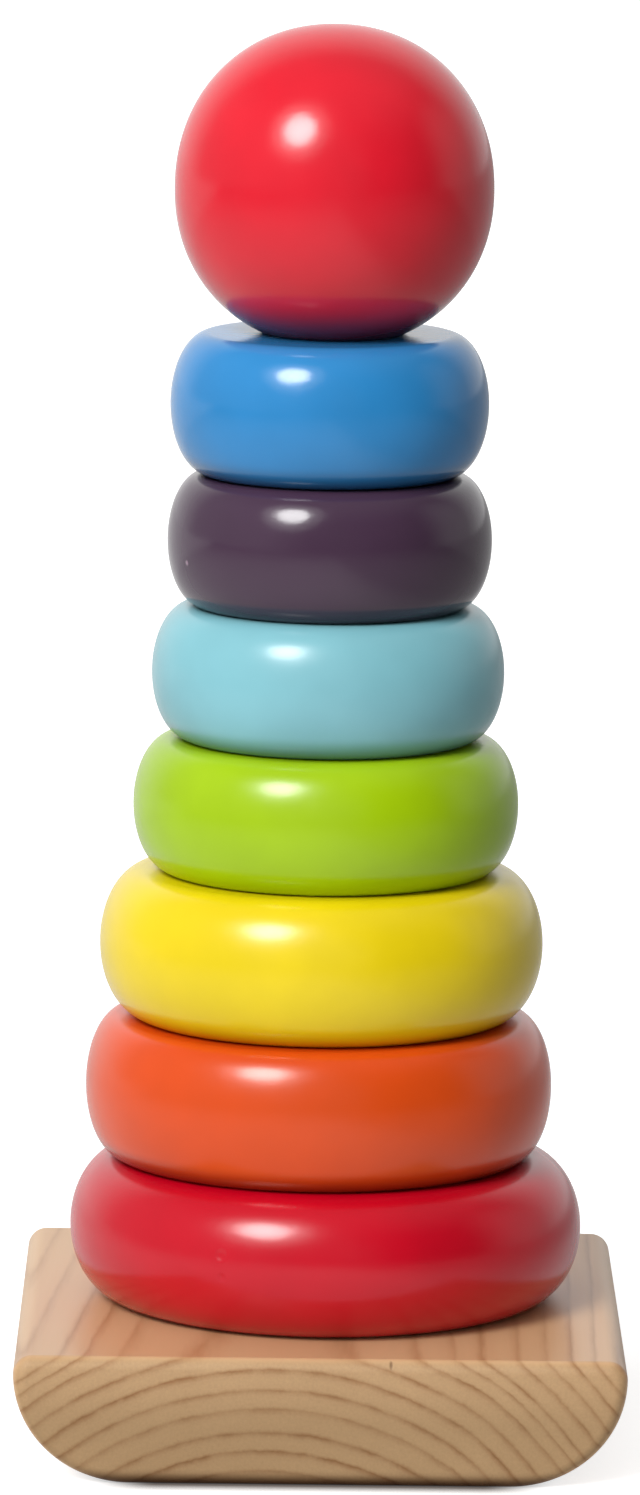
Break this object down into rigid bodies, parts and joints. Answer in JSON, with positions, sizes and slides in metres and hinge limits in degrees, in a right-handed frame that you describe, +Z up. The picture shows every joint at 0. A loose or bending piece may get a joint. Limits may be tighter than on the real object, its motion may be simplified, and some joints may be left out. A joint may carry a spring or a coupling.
{
  "type": "stacking ring tower",
  "caption": "Wooden stacking toy: painted rings of falling size and a ball on a post that stands in a square wooden base; each piece lifts off the post.",
  "frame": {"origin": "middle of the base's underside, on the post's axis", "axes": "+Z up along the post; the base's front face, which shows its end grain, looks towards -Y"},
  "size_m": [0.095, 0.098, 0.222],
  "materials": {
    "pine": "clear satin lacquer",
    "red_paint": "gloss paint",
    "orange_paint": "gloss paint",
    "yellow_paint": "gloss paint",
    "green_paint": "gloss paint",
    "light_blue_paint": "gloss paint",
    "purple_paint": "gloss paint",
    "blue_paint": "gloss paint",
    "ball_paint": "gloss paint"
  },
  "bodies": {
    "stand": {"base": "pine", "post": "pine"},
    "red": {"ring_red": "red_paint"},
    "orange": {"ring_orange": "orange_paint"},
    "yellow": {"ring_yellow": "yellow_paint"},
    "green": {"ring_green": "green_paint"},
    "light_blue": {"ring_light_blue": "light_blue_paint"},
    "purple": {"ring_purple": "purple_paint"},
    "blue": {"ring_blue": "blue_paint"},
    "ball": {"ball": "ball_paint"}
  },
  "joints": [
    {"name": "red_lift", "type": "slide", "parent": "stand", "child": "red", "axis": [0, 0, 1], "range_m": [0, 0.176]},
    {"name": "orange_lift", "type": "slide", "parent": "red", "child": "orange", "axis": [0, 0, 1], "range_m": [0, 0.153]},
    {"name": "yellow_lift", "type": "slide", "parent": "orange", "child": "yellow", "axis": [0, 0, 1], "range_m": [0, 0.131]},
    {"name": "green_lift", "type": "slide", "parent": "yellow", "child": "green", "axis": [0, 0, 1], "range_m": [0, 0.108]},
    {"name": "light_blue_lift", "type": "slide", "parent": "green", "child": "light_blue", "axis": [0, 0, 1], "range_m": [0, 0.087]},
    {"name": "purple_lift", "type": "slide", "parent": "light_blue", "child": "purple", "axis": [0, 0, 1], "range_m": [0, 0.066]},
    {"name": "blue_lift", "type": "slide", "parent": "purple", "child": "blue", "axis": [0, 0, 1], "range_m": [0, 0.045]},
    {"name": "ball_lift", "type": "slide", "parent": "blue", "child": "ball", "axis": [0, 0, 1], "range_m": [0, 0.022]}
  ]
}
